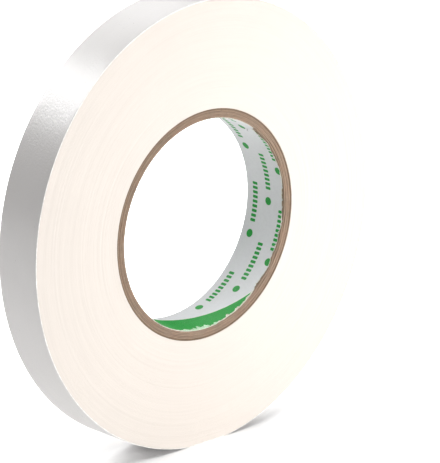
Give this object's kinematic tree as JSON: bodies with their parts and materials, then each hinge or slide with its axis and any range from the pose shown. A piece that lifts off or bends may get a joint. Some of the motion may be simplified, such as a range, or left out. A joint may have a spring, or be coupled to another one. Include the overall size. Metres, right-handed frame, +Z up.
{
  "type": "gaffer tape roll",
  "caption": "Roll of white cloth gaffer tape wound on a spiral paper core with a printed lining, standing on its edge, with a free end that peels off the roll.",
  "frame": {"origin": "on the table, under the middle of the standing roll", "axes": "+Z up; the roll's axis lies along Y and its front face, the one pictured, looks towards -Y"},
  "size_m": [0.1578, 0.019, 0.162],
  "materials": {
    "lining_paper": "satin",
    "kraft_board": "matte",
    "tape_edges": "matte",
    "tape_back": "satin"
  },
  "bodies": {
    "roll": {"core_lining": "lining_paper", "core_ply_1": "kraft_board", "core_ply_2": "kraft_board", "core_ply_3": "kraft_board", "core_ply_4": "kraft_board", "core_ply_5": "kraft_board", "core_ply_6": "kraft_board", "packed_turns": "tape_edges", "last_turn": "tape_back"},
    "tape_end": {"free_end": "tape_back"}
  },
  "joints": [
    {"name": "tape_end_peel", "type": "hinge", "parent": "roll", "child": "tape_end", "pos_m": [0.03588, 0, 0.1528], "axis": [0, -1, 0], "range_deg": [0, 150]}
  ]
}
